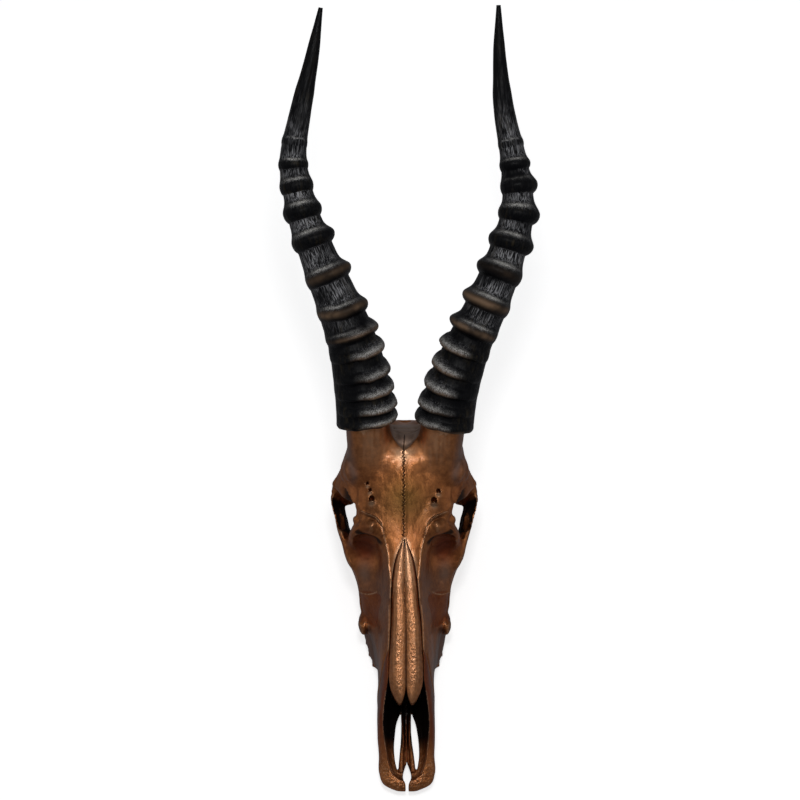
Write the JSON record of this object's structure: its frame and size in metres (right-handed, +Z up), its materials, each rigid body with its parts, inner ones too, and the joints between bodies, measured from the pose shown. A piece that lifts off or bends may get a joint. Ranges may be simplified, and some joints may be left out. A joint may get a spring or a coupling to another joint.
{
  "type": "antelope skull",
  "caption": "Life-size museum model of an antelope skull without its lower jaw, the bone coated copper, with long ridged black horns.",
  "frame": {"origin": "centre of the whole object's bounding box, on the floor", "axes": "+Z up from the floor; the nose points to -Y and the horns rise towards +Y; +X is the right-hand side for a viewer who faces the nose"},
  "size_m": [0.205, 0.5268, 0.3291],
  "materials": {
    "coated_bone": "metallic copper paint over bone, satin, darker in the hollows",
    "horn_sheath": "black horn, satin, with worn brown ridge crests"
  },
  "bodies": {
    "root": {"skull": "coated_bone", "premaxilla_left": "coated_bone", "premaxilla_right": "coated_bone", "nasal_left": "coated_bone", "nasal_right": "coated_bone", "horn_left": "horn_sheath", "horn_right": "horn_sheath"}
  },
  "joints": []
}
